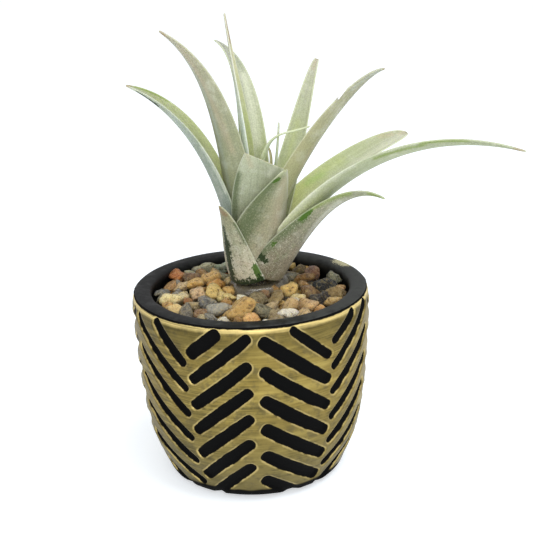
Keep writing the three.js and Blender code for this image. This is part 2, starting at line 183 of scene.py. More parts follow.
def select_all_in(piece):
    """Makes the piece the only selected and the active object."""
    bpy.ops.object.select_all(action="DESELECT")
    piece.select_set(True)
    bpy.context.view_layer.objects.active = piece


def new_grid(name, columns, rows):
    """A flat grid from -1 to 1 both ways, and the places of its points there."""
    bpy.ops.object.select_all(action="DESELECT")
    bpy.ops.mesh.primitive_grid_add(x_subdivisions=columns, y_subdivisions=rows, size=2)
    piece = bpy.context.object
    piece.name = piece.data.name = name
    flat = np.zeros(len(piece.data.vertices) * 3)
    piece.data.vertices.foreach_get("co", flat)
    return piece, flat.reshape(-1, 3)


def rolled_grid(name, profile, columns):
    """A grid, and for each of its points the angle round an upright axis, the place along a
    profile of radii and heights, and the radius and height there."""
    piece, flat = new_grid(name, columns, len(profile) - 1)
    station = (flat[:, 1] + 1) / 2 * (len(profile) - 1)
    radius, z = (np.interp(station, np.arange(len(profile)), profile[:, k]) for k in (0, 1))
    return piece, flat[:, 0] * math.pi, station, radius, z


def place_points(piece, points):
    """Puts the mesh's points at these places, given in mm."""
    piece.data.vertices.foreach_set("co", (np.asarray(points) * MM).ravel())
    piece.data.update()


def paint(piece, name, values):
    """Keeps a number or a colour for each point of the mesh, for its material to read."""
    values = np.asarray(values, np.float32)
    kind = "FLOAT" if values.ndim == 1 else "FLOAT_COLOR"
    layer = piece.data.attributes.new(name, kind, "POINT")
    layer.data.foreach_set("value" if values.ndim == 1 else "color", values.ravel())


def closed(piece):
    """Merges doubled points, which closes seams and poles, and turns the faces outwards."""
    select_all_in(piece)
    bpy.ops.object.mode_set(mode="EDIT")
    bpy.ops.mesh.select_all(action="SELECT")
    bpy.ops.mesh.remove_doubles(threshold=MERGE_WITHIN)
    bpy.ops.mesh.normals_make_consistent(inside=False)
    bpy.ops.object.mode_set(mode="OBJECT")
    bpy.ops.object.shade_smooth()


def pot_mesh():
    """The tub as one grid rolled round the pot's axis, from the middle of its foot to its floor."""
    wall = [(pot_radius(z) - POT_SKIN, z) for z in np.linspace(*WALL_HEIGHTS, POT_ROWS)]
    inside = [(pot_radius(z) - POT_WALL, z) for z in INSIDE_HEIGHTS]
    profile = np.array(POT_FOOT + wall + POT_RIM + POT_LIP + inside + POT_FLOOR)
    piece, angle, station, radius, z = rolled_grid("gilded_tub", profile, POT_COLUMNS)
    angle = math.pi - angle
    azimuth = np.degrees(angle)
    wall_end = len(POT_FOOT) + len(wall) + 1
    on_wall = (station > len(POT_FOOT) - 1) & (station < wall_end)
    on_rim = (station >= wall_end) & (station < len(profile) - len(POT_FLOOR) - len(inside))
    edge = np.where(on_wall, dash_distance(azimuth, z), FAR)
    sunk = 1 - np.clip((edge + FLANK_INSIDE) / FLANK_WIDTH, 0, 1)
    sunk = sunk**2 * (3 - 2 * sunk)
    ridge = np.exp(-(((edge - RIDGE_OUT) / RIDGE_SPREAD) ** 2)) * RIDGE_HEIGHT
    radius = radius - DASH_DEPTH * sunk + np.where(on_wall, ridge, 0)
    radius += np.where(on_wall, WALL_STRAY * waves(angle + z * 0.05, seed=3) * np.clip(z / 10, 0, 1), 0)
    mouth_wave = MOUTH_STRAY * waves(angle, seed=5, count=24, first=3)
    radius += np.where(on_rim & (radius < MOUTH_LIP), mouth_wave, 0)
    z = z - np.where(on_rim, RIM_SAG + RIM_STRAY * waves(angle, seed=7, count=12), 0)
    points = np.stack([radius * np.sin(angle), -radius * np.cos(angle), z], 1)
    place_points(piece, points)
    above_foot = z - PAINT_FOOT + PAINT_FOOT_STRAY * waves(angle, seed=11, count=30, first=4)
    # Painted shade round the left of the front, where the gold is also rubbed thin.
    off_worn_shaded = (azimuth + 540) % 360 - 180 - WORN_SHADED_AZIMUTH
    start, run = RIM_CHIP[0], RIM_CHIP[1] - RIM_CHIP[0]
    share = np.clip((points - start) @ run / (run @ run), 0, 1)
    from_chip = np.linalg.norm(points - start - np.outer(share, run), axis=1)
    paint(piece, "dash_edge", edge)
    paint(piece, "from_rim", np.where(on_wall, PAINT_TOP - z, NO_GOLD))
    paint(piece, "from_foot", np.where(on_wall, above_foot, NO_GOLD))
    paint(piece, "chipped", 1 - from_chip / RIM_CHIP_REACH)
    paint(piece, "bare", np.where(on_wall, 0.0, 1.0))
    paint(piece, "rubbed", np.exp(-((off_worn_shaded / WORN_SHADED_SPREAD) ** 2)))
    closed(piece)
    bare = np.zeros(len(piece.data.vertices), np.float32)
    piece.data.attributes["bare"].data.foreach_get("value", bare)
    for face in piece.data.polygons:
        face.material_index = int(bare[list(face.vertices)].min())
    return piece


def linear(hex_colour):
    """The linear colour, with alpha, of an sRGB hex value."""
    channels = [int(hex_colour[i : i + 2], 16) / 255 for i in (1, 3, 5)]
    return [c / 12.92 if c <= 0.04045 else ((c + 0.055) / 1.055) ** 2.4 for c in channels] + [1.0]


def join(tree, node, inputs):
    """Sets a node's inputs, given by name or in their order, each to a value, a hex colour or
    another node's output."""
    named = inputs.items() if isinstance(inputs, dict) else enumerate(inputs)
    for socket, value in named:
        if isinstance(value, bpy.types.NodeSocket):
            tree.links.new(value, node.inputs[socket])
        else:
            node.inputs[socket].default_value = linear(value) if isinstance(value, str) else value


def add_node(tree, kind, inputs=(), settings=(), output=0):
    """Adds a shader node with its inputs and settings, and gives one of its outputs."""
    node = tree.nodes.new("ShaderNode" + kind)
    for key, value in dict(settings).items():
        setattr(node, key, value)
    join(tree, node, inputs)
    return node.outputs[output]


def new_material(name, constants):
    """A material whose even values are set on its shader's own sockets, a function that adds
    nodes to it, and one that joins them to its shader."""
    material = bpy.data.materials.new(name)
    material.use_nodes = True
    tree = material.node_tree
    finish = partial(join, tree, tree.nodes["Principled BSDF"])
    finish(constants)
    return material, partial(add_node, tree), finish


# A MapRange node's inputs, in their order, are its value, the two ends of the range that this is
# in, and the two ends of the range that it is mapped to.
SMOOTH = {"interpolation_type": "SMOOTHSTEP"}
TIMES, PLUS, TIMES_PLUS = ({"operation": name} for name in ("MULTIPLY", "ADD", "MULTIPLY_ADD"))
COLOUR, TINTED, LIT = ({"data_type": "RGBA", "blend_type": name} for name in ("MIX", "MULTIPLY", "SCREEN"))
FACTOR, UNDER, OVER, MIXED = 0, 6, 7, 2


def gilded_plaster():
    """Matte black plaster with dry-brushed gold paint: satin, streaked and worn thin in places, with
    painted shade and painted highlights.
    """
    material, add, finish = new_material("gilded_black_plaster", {"Specular IOR Level": 0.1})
    place = add("TexCoord", output="Object")
    height = add("SeparateXYZ", {"Vector": place}, output="Z")
    dash_edge, from_rim, from_foot, rubbed = (
        add("Attribute", (), {"attribute_name": name}, "Fac")
        for name in ("dash_edge", "from_rim", "from_foot", "rubbed")
    )
    # Brush hairs run round the pot: 0.4 mm streaks, 20 mm long, over broader 2 mm ones.
    hairs = add("Mapping", {"Vector": place, "Scale": (50, 50, 2400), "Rotation": (0.04, 0.03, 0)})
    hair = add("TexNoise", {"Vector": hairs, "Scale": 1, "Detail": 4, "Roughness": 0.6})
    bands = add("Mapping", {"Vector": place, "Scale": (60, 60, 420), "Rotation": (-0.1, 0.06, 0)})
    band = add("TexNoise", {"Vector": bands, "Scale": 1, "Detail": 3, "Roughness": 0.55})
    # Plaster grains of 0.4 mm, and clouds of about 6 and 5 mm in which the paint is uneven.
    grain, blotch, uneven = (
        add("TexNoise", {"Vector": place, "Scale": scale * PER_MM, "Detail": detail, "Roughness": rough})
        for scale, detail, rough in ((2.2, 3, 0.5), (0.16, 4, 0.6), (0.22, 4, 0.6))
    )
    # The paint's uneven edge: it strays 0.2 mm to either side of the carved one.
    shift = add("MapRange", (uneven, 0.3, 0.7, -0.2, 0.2))
    edge = add("Math", (dash_edge, shift), PLUS)
    off_dash = add("MapRange", (edge, 0.02, 0.22, 0, 1), SMOOTH)
    border = add("Math", (from_rim, shift), PLUS)
    under_rim = add("MapRange", (border, -0.05, 0.25, 0, 1), SMOOTH)
    above_foot = add("MapRange", (from_foot, -0.4, 0.7, 0, 1), SMOOTH)
    in_band = add("Math", (under_rim, above_foot), TIMES)
    cover = add("Math", (off_dash, in_band), TIMES)
    # Gold: pale in thick streaks, darker towards the foot as painted shade, soiled in clouds and olive
    # where it is thin.
    streak = add("MapRange", (band, 0.42, 0.72, 0, 0.65), SMOOTH)
    low = add("MapRange", (height, 0, 48 * MM, 0.7, 0), SMOOTH)
    soiled = add("MapRange", (uneven, 0.5, 0.66, 0, 0.6), SMOOTH)
    fine = add("MapRange", (hair, 0.36, 0.66, 0.68, 0))
    # Round the left of the front the gold is rubbed thin and darkened as painted shade.
    patchy = add("Math", (rubbed, 0.28, blotch), TIMES_PLUS)
    worn = add("MapRange", (patchy, 0.4, 0.66, 0.25, 1.1), SMOOTH)
    thin = add("Math", (fine, worn), TIMES)
    # Painted shade: the gold is darker for 13 mm under the rim.
    shade_under_rim = add("MapRange", (from_rim, 1, 13, 0.5, 0), SMOOTH)
    # It is brightest on the ridges round the dashes and on the edge under the rim: the dry brush left most
    # paint there, and a painted highlight lies on top.
    ridge = add("MapRange", (edge, 0.15, 0.9, 0.6, 0), SMOOTH)
    touched = add("MapRange", (uneven, 0.4, 0.6, 0.1, 1), SMOOTH)
    ridge_gold_highlight = add("Math", (ridge, touched), TIMES)
    top = add("MapRange", (border, 0.5, 2.0, 1, 0), SMOOTH)
    bristled = add("MapRange", (hair, 0.35, 0.6, 0.35, 1))
    rim_edge_gold_highlight = add("Math", (top, bristled), TIMES)
    gold = "#8A773D"
    for mask, over in (
        (streak, "#B09C56"), (low, "#6B6340"), (soiled, "#5F563A"), (thin, THIN_AND_SHADED_GOLD),
        (shade_under_rim, THIN_AND_SHADED_GOLD), (ridge_gold_highlight, BRIGHT_GOLD_HIGHLIGHT), (rim_edge_gold_highlight, BRIGHT_GOLD_HIGHLIGHT),
    ):
        gold = add("Mix", {FACTOR: mask, UNDER: gold, OVER: over}, COLOUR, MIXED)
    metal = add("Math", (cover, 0.6), TIMES)
    matte = add("MapRange", (cover, 0, 1, 0.85, 0.44))
    relief = add("Math", (hair, cover, grain), TIMES_PLUS)
    bump = add("Bump", {"Strength": 0.4, "Distance": 0.12 * MM, "Height": relief})
    painted = add("Mix", {FACTOR: cover, UNDER: "#030303", OVER: gold}, COLOUR, MIXED)
    finish({"Base Color": painted, "Metallic": metal, "Roughness": matte, "Normal": bump})
    return material


def bare_plaster():
    """The black plaster of the rim and the inside: satin, dusty in places, with a painted reflection on the
    right and one pale chip.
    """
    material, add, finish = new_material("bare_black_plaster", {"Specular IOR Level": 0.3})
    place = add("TexCoord", output="Object")
    across = add("SeparateXYZ", {"Vector": place}, output="X")
    height = add("SeparateXYZ", {"Vector": place}, output="Z")
    grain = add("TexNoise", {"Vector": place, "Scale": 1.6 * PER_MM, "Detail": 4, "Roughness": 0.65})
    dust = add("TexNoise", {"Vector": place, "Scale": 0.2 * PER_MM, "Detail": 5, "Roughness": 0.65})
    # Dust lies in clouds, and the right is lighter as a painted reflection; the inside under the rim is
    # painted shade, where hardly any light reaches.
    dust_and_reflection = add("Math", (across, 3.5, dust), TIMES_PLUS)
    dusty_and_reflected = add("MapRange", (dust_and_reflection, 0.4, 0.7, 0, 0.8), SMOOTH)
    deep = add("MapRange", (height, 63 * MM, 66.4 * MM, 0.9, 0), SMOOTH)
    ragged = add("MapRange", (grain, 0.3, 0.7, -0.6, 0.6))
    chipped = add("Attribute", (), {"attribute_name": "chipped"}, "Fac")
    broken = add("Math", (chipped, ragged), PLUS)
    chip = add("MapRange", (broken, 0.1, 0.35, 0, 0.95), SMOOTH)
    colour = "#0B0C0E"
    for mask, over in ((dusty_and_reflected, "#393B39"), (deep, "#040404"), (chip, "#B9B391")):
        colour = add("Mix", {FACTOR: mask, UNDER: colour, OVER: over}, COLOUR, MIXED)
    matte = add("MapRange", (dust, 0.3, 0.7, 0.42, 0.75))
    bump = add("Bump", {"Strength": 0.4, "Distance": 0.1 * MM, "Height": grain})
    finish({"Base Color": colour, "Roughness": matte, "Normal": bump})
    return material


pot = pot_mesh()
pot.data.materials.append(gilded_plaster())
pot.data.materials.append(bare_plaster())
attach(pot, "root")
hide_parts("pot")

# The gravel. River pebbles and quartz chips of 4 to 9 mm, washed and laid loose to just under
# the rim. They lie on a near-black bed, painted shade, of which only the gaps between them show.
PLANT = np.array([2.5, 6, 0])
STONE_REACH = 33.2
STONE_SIZES = (4.2, 7.4)
STONE_SPREAD = 0.8
# The top layer and the one under it: the room that two stones keep between their middles, as a
# share of their sizes, and how far each layer is lifted.
LAYER_ROOMS = (0.41, 0.36)
LAYER_LIFTS = (1.3, -2.0)
STONE_TRIES = 1500
STONE_SEED = 17
# A stone's shape, for a ball of radius 1: the planes it is cut by, how far out they lie and how
# sharply they meet, its dents, how far it is drawn out along each axis, and how far it may tip.
STONE_PLANES = 12
PLANE_REACHES = (0.62, 1.0)
SHARPNESS = 14
STONE_DENTS = 5
DENT_DEPTH = 0.05
STONE_LENGTHS = ((0.95, 1.25), (0.78, 1.0), (0.6, 0.85))
STONE_TIP = 0.4
# How far a stone is lifted by chance and by its size, and by the crown of the whole bed, and how
# much lighter or darker than its tone it may be.
STONE_LIFTS = (-0.5, 0.8)
SIZE_LIFT = 0.16
CROWN = 0.7
STONE_SHADES = (0.9, 1.2)
STONE_TONES = [
    ("#C09A58", 5), ("#94703C", 3), ("#D6C08C", 4), ("#8A5A2E", 2), ("#7F7C74", 2), ("#2A2722", 2),
    ("#6F6C58", 2), ("#E2D8BC", 1), ("#AD8B58", 4), ("#7E6144", 2), ("#CDA75E", 3),
]
# Stones that stand out: place across and back in mm, size in mm, and colour.
KEY_STONES = [
    (-26, 17, 7.4, "#9A5C2A"), (-28, 8, 5.8, "#A9824F"), (-24.5, 7, 5.4, "#B39A72"),
    (-30.5, 2.5, 5.4, "#6A6A64"), (-20, 9.5, 7.4, "#CCA45E"), (-14.5, 13.5, 7.2, "#D2AC6C"),
    (-10.5, 16, 5.6, "#8F8A6A"), (-22, 20, 5.6, "#A3A488"), (-19, 25, 4.8, "#A39F8A"),
    (-15.5, 27, 4.8, "#A8A68A"), (-11.5, 28.5, 5.0, "#8F9A84"), (-7.5, 28, 4.8, "#98A08E"),
    (-12.5, 6, 6.8, "#CB9340"), (-28, -7.5, 7.8, "#E2CF96"), (-23.5, -3.5, 6.8, "#BCAC82"),
    (-18, -4, 6.8, "#C6A880"), (-13, -2.5, 6.6, "#CFB26C"), (-8.5, -6, 7.4, "#D3BC7A"),
    (-14, -13.5, 6.4, "#6C6B66"), (-10, -17, 6.4, "#9C998C"), (-18.5, -13.5, 5.4, "#95845F"),
    (-21.5, -19, 6.2, "#6A655A"), (-25, -16, 5.4, "#CDB27C"), (-28, -13, 4.4, "#C79E5C"),
    (-4.5, -20.5, 8.6, "#BC9858"), (-8.5, -27.5, 5.2, "#DAD3BC"), (1, -27, 6.0, "#DFAC6C"),
    (-16, -25.5, 4.8, "#A89A78"), (-12.5, -24.5, 5.0, "#78766E"), (2.5, -9.5, 7.2, "#7D7050"),
    (3.5, -19.5, 7.6, "#75715A"), (9.5, -8.5, 6.4, "#86724A"), (13, -1, 7.0, "#D6B46C"),
    (16, -7.5, 6.4, "#E0CC94"), (14.5, 6, 4.4, "#CFAE68"), (19, 11, 7.4, "#866232"),
    (18, 20.5, 5.8, "#6A5834"), (15, 25, 4.4, "#C4A868"), (22.5, 17, 6.2, "#74513A"),
    (20, -2, 6.6, "#7C5C32"), (26, 3, 7.4, "#0E1011"), (23.5, -11, 6.8, "#251D16"),
    (29, -5, 8.2, "#8C754A"), (29, 10, 6.6, "#7C7C66"), (31.5, 2.5, 4.2, "#B48E5E"),
    (28, -14, 6.2, "#B09460"), (23.5, -20, 5.2, "#C99A62"), (18.5, -17, 8.2, "#D0AA74"),
    (17.5, -24, 7.2, "#CDB285"), (12, -24.5, 7.6, "#ECE4D0"), (7.5, -15.5, 5.0, "#A89470"),
    (7, -22, 5.0, "#8C7C5C"), (12.5, -17.5, 5.8, "#B59868"), (4.5, -29, 5.0, "#DDD6C0"),
    (8.5, -29.5, 5.4, "#8A7A5C"), (14, 15, 5.6, "#8A7A62"),
]
# The bed: its top at the middle and at the wall, its flat bottom, and the share of the grid's
# rows at which it turns from one to the next.
BED_TOP = 61.2
BED_EDGE = 60.8
BED_BOTTOM = 48
BED_TURNS = [0, 0.8, 0.9, 1]


def unit(vectors):
    """The vectors at length 1."""
    return vectors / np.linalg.norm(vectors, axis=1)[:, None]


def stone_points(directions, random, size):
    """A worn stone: a ball cut flat by a dozen soft planes, with dents, drawn out and turned."""
    normals = unit(random.normal(size=(STONE_PLANES, 3)))
    heights = random.uniform(*PLANE_REACHES, STONE_PLANES)
    reach = np.maximum(directions @ normals.T, 0) / heights
    radius = (reach**SHARPNESS + 0.55**SHARPNESS).sum(1) ** (-1 / SHARPNESS)
    dents = random.normal(size=(STONE_DENTS, 3)) * 2.6
    radius += DENT_DEPTH * np.sin(directions @ dents.T + random.uniform(0, 6, STONE_DENTS)).sum(1)
    points = directions * radius[:, None]
    points *= [random.uniform(*limits) for limits in STONE_LENGTHS]
    tip = random.uniform(-STONE_TIP, STONE_TIP, 2)
    turn = Matrix.Rotation(random.uniform(0, 2 * math.pi), 3, "Z")
    turn = turn @ Matrix.Rotation(tip[0], 3, "X") @ Matrix.Rotation(tip[1], 3, "Y")
    return points @ np.array(turn).T * size / 2


def stone_places(random):
    """Where the stones lie: the known ones first, then others wherever there is still room."""
    made = [(x, y, size, linear(tone), 0) for x, y, size, tone in KEY_STONES]
    tones = [tone for tone, share in STONE_TONES for _ in range(share)]
    for layer, room in enumerate(LAYER_ROOMS):
        for _ in range(STONE_TRIES):
            radius = STONE_REACH * math.sqrt(random.uniform())
            angle = random.uniform(0, 2 * math.pi)
            x, y = radius * math.cos(angle), radius * math.sin(angle)
            size = random.uniform(*STONE_SIZES)
            tone = linear(tones[int(random.uniform() * len(tones))])
            beside = [(math.hypot(x - a, y - b), c) for a, b, c, _, other in made if other == layer]
            crowded = any(far < room * (size + c) for far, c in beside)
            if radius + size / 2 < STONE_REACH + STONE_SPREAD and not crowded:
                made.append((x, y, size, tone, layer))
    return made


def gravel_mesh():
    """All the stones and their bed as one piece."""
    random = np.random.default_rng(STONE_SEED)
    bpy.ops.object.select_all(action="DESELECT")
    # The stones that stand out are copies of a finer ball than the rest.
    patterns = []
    for subdivisions in (3, 2):
        bpy.ops.mesh.primitive_ico_sphere_add(subdivisions=subdivisions, radius=1)
        patterns.append(bpy.context.object)
    stones = []
    for count, (x, y, size, tone, layer) in enumerate(stone_places(random)):
        pattern = patterns[0 if count < len(KEY_STONES) else 1]
        stone = pattern.copy()
        stone.data = pattern.data.copy()
        bpy.context.collection.objects.link(stone)
        directions = unit(np.array([vertex.co for vertex in stone.data.vertices]))
        points = stone_points(directions, random, size)
        crown = CROWN * (1 - (x * x + y * y) / STONE_REACH**2)
        lift = random.uniform(*STONE_LIFTS) + size * SIZE_LIFT + crown + LAYER_LIFTS[layer]
        place_points(stone, points + [x, y, BED_TOP + lift])
        # A stone is darker towards the right and underneath: painted shade, where little light reaches it.
        shade = random.uniform(*STONE_SHADES) * (1.12 - 0.004 * x)
        shade = shade * np.clip(0.85 + 2.2 * points[:, 2] / size, 0.2, 1.0)
        paint(stone, "stone_tone", np.hstack([np.outer(shade, tone[:3]), np.ones((len(points), 1))]))
        paint(stone, "stone_number", np.full(len(points), random.uniform()))
        stones.append(stone)
    for pattern in patterns:
        bpy.data.objects.remove(pattern)
    bed, flat = new_grid("washed_gravel", 60, 12)
    angle, share = flat[:, 0] * math.pi, (flat[:, 1] + 1) / 2
    radius = np.interp(share, BED_TURNS, [0, STONE_REACH, STONE_REACH, 0])
    z = np.interp(share, BED_TURNS, [BED_TOP, BED_EDGE, BED_BOTTOM, BED_BOTTOM])
    place_points(bed, np.stack([radius * np.cos(angle), radius * np.sin(angle), z], 1))
    # The bed's near-black is painted shade in the gaps between the stones.
    paint(bed, "stone_tone", np.tile(linear("#17120B"), (len(flat), 1)))
    paint(bed, "stone_number", np.zeros(len(flat)))
    closed(bed)
    select_all_in(bed)
    for stone in stones:
        stone.select_set(True)
    bpy.ops.object.join()
    bpy.ops.object.shade_smooth()
    return bed


def river_stone():
    """Washed quartz and river stone: each its own colour, veined, half clear, with a damp shine."""
    material, add, finish = new_material("washed_river_stone", {
        "Specular IOR Level": 0.65, "Subsurface Weight": 0.4, "Subsurface Scale": 2.0 * MM,
        "Subsurface Radius": (1.0, 0.8, 0.4),
    })
    place = add("TexCoord", output="Object")
    tone = add("Attribute", (), {"attribute_name": "stone_tone"}, "Color")
    number = add("Attribute", (), {"attribute_name": "stone_number"}, "Fac")
    # Mottling of about 1.5 mm, mineral grains of 0.4 mm, and thin veins across some stones. The
    # stone's number, as a fourth coordinate, gives each stone a pattern of its own.
    numbered = {"noise_dimensions": "4D"}
    own = {"Vector": place, "W": add("Math", (number, 40.0), TIMES)}
    mottle = add("TexNoise", {**own, "Scale": 0.6 * PER_MM, "Detail": 5, "Roughness": 0.75}, numbered)
    vein = add("TexNoise", {**own, "Scale": 0.28 * PER_MM, "Detail": 3, "Distortion": 1.2}, numbered)
    grain = add("TexNoise", {"Vector": place, "Scale": 2.6 * PER_MM, "Detail": 2})
    lighter = add("MapRange", (mottle, 0.52, 0.68, 0, 1.0), SMOOTH)
    darker = add("MapRange", (mottle, 0.49, 0.34, 0, 0.9), SMOOTH)
    line = add("MapRange", (vein, 0.485, 0.5, 0, 1), SMOOTH)
    past = add("MapRange", (vein, 0.5, 0.515, 0.55, 0), SMOOTH)
    veined = add("Math", (line, past), TIMES)
    speck = add("MapRange", (grain, 0.35, 0.65, 0.8, 1.12))
    colour = tone
    for mask, over, blend in (
        (lighter, "#867440", LIT), (darker, "#5C421C", TINTED), (veined, "#CDBB88", COLOUR),
        (1.0, speck, TINTED),
    ):
        colour = add("Mix", {FACTOR: mask, UNDER: colour, OVER: over}, blend, MIXED)
    shine = add("MapRange", (mottle, 0.3, 0.7, 0.12, 0.42))
    relief = add("Math", (mottle, 2.0, grain), TIMES_PLUS)
    bump = add("Bump", {"Strength": 1.0, "Distance": 0.7 * MM, "Height": relief})
    finish({"Base Color": colour, "Roughness": shine, "Normal": bump})
    return material


gravel = gravel_mesh()
gravel.data.materials.append(river_stone())
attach(gravel, "root")
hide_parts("gravel")

# The glue. A drop of clear hot glue that was pressed flat between the plant's foot and the
# gravel, and set with a smooth, slightly cloudy skin.
GLUE_LEVELS = [
    (0, 62.2), (6, 62.25), (9.4, 62.6), (10.6, 63.8), (10.3, 65.2), (9.3, 66.3), (7.6, 66.75), (0, 66.8),
]


def upright_form(name, levels, columns, swell):
    """A closed round form at the plant's foot, from radii and heights. Swell gives what its
    radius is multiplied by at each angle and height."""
    piece, angle, _, radius, z = rolled_grid(name, levels, columns)
    radius = np.maximum(radius, 0) * swell(angle, z)
    place_points(piece, PLANT + np.stack([radius * np.cos(angle), radius * np.sin(angle), z], 1))
    closed(piece)
    return piece


def glue_edge(angle, z):
    """The drop's round is wavy where it ran in among the stones."""
    return 1 + 0.06 * np.sin(3 * angle + 1) + 0.05 * np.sin(5 * angle) + 0.02 * waves(angle, seed=4)


def clear_glue():
    """Clear hot-melt glue: glossy and see-through, with a faint grey cloud in it."""
    material, add, finish = new_material("clear_hot_glue", {
        "IOR": 1.46, "Transmission Weight": 0.8, "Specular IOR Level": 0.5,
    })
    place = add("TexCoord", output="Object")
    cloud = add("TexNoise", {"Vector": place, "Scale": 0.35 * PER_MM, "Detail": 1})
    colour = add("Mix", {FACTOR: cloud, UNDER: "#C6BCA2", OVER: "#7E745A"}, COLOUR, MIXED)
    haze = add("MapRange", (cloud, 0.3, 0.7, 0.05, 0.3))
    bump = add("Bump", {"Strength": 0.15, "Distance": 0.4 * MM, "Height": cloud})
    finish({"Base Color": colour, "Roughness": haze, "Normal": bump})
    return material


glue = upright_form("set_glue", curve_points(GLUE_LEVELS, 28), 72, glue_edge)
glue.data.materials.append(clear_glue())
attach(glue, "root")
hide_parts("glue_drop")

# The stem core. The plant's short woody stem, hidden by the sheaths that are rolled round it.
CORE_LEVELS = [(0, 67.1), (4.2, 67.1), (4, 69), (3, 73), (1.8, 78), (0.8, 84), (0, 84.2)]


def leaf_scars(angle, z):
    """The rings that fallen leaves left round the stem, every 2.6 mm."""
    return 1 + 0.05 * np.sin(z * 2.4) + 0.02 * waves(angle, seed=9)


def woody_stem():
    """Fibrous plant stem: matte, pale green-brown, with fine fibres along it."""
    material, add, finish = new_material("fibrous_stem", {"Roughness": 0.8})
    place = add("TexCoord", output="Object")
    fibres = add("Mapping", {"Vector": place, "Scale": (2600, 2600, 160)})
    fibre = add("TexNoise", {"Vector": fibres, "Scale": 1, "Detail": 3})
    colour = add("Mix", {FACTOR: fibre, UNDER: "#6E6B3C", OVER: "#A8AC78"}, COLOUR, MIXED)
    bump = add("Bump", {"Strength": 0.5, "Distance": 0.2 * MM, "Height": fibre})
    finish({"Base Color": colour, "Normal": bump})
    return material


core = upright_form("woody_core", curve_points(CORE_LEVELS, 60), 40, leaf_scars)
core.data.materials.append(woody_stem())
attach(core, "root")
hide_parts("stem_core")

